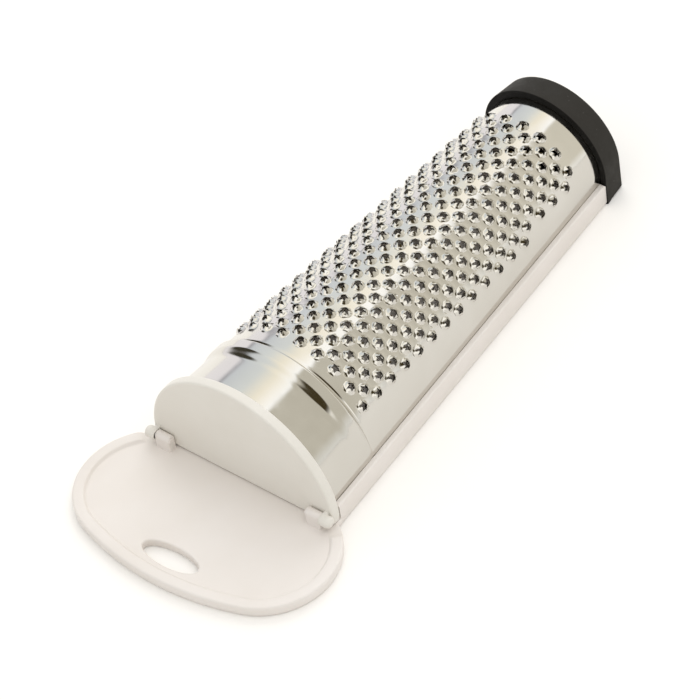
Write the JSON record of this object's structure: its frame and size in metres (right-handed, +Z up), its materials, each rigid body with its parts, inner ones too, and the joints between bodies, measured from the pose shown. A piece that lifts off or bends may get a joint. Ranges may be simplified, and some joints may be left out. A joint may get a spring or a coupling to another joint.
{
  "type": "nutmeg grater",
  "caption": "Half-round tapered nutmeg grater: punched steel sheet on a white base with a rimmed paddle handle, a hinged door at the wide end and a black cap at the narrow end.",
  "frame": {"origin": "on the midline of the underside, below the door's front face", "axes": "+X to the right seen from the handle, +Y from the door to the cap, +Z up from the underside"},
  "size_m": [0.0624, 0.1414, 0.0281],
  "materials": {
    "white_base": "satin warm white moulding",
    "polished_steel": "polished stainless sheet with punched burrs",
    "white_door": "satin warm white moulding",
    "black_cap": "matte black"
  },
  "bodies": {
    "grater": {"base_handle": "white_base", "grater_shell": "polished_steel", "end_cap": "black_cap"},
    "door": {"front_door": "white_door"}
  },
  "joints": [
    {"name": "door_hinge", "type": "hinge", "parent": "grater", "child": "door", "pos_m": [0, -0.00135, 0.005], "axis": [1, 0, 0], "range_deg": [0, 95]}
  ]
}
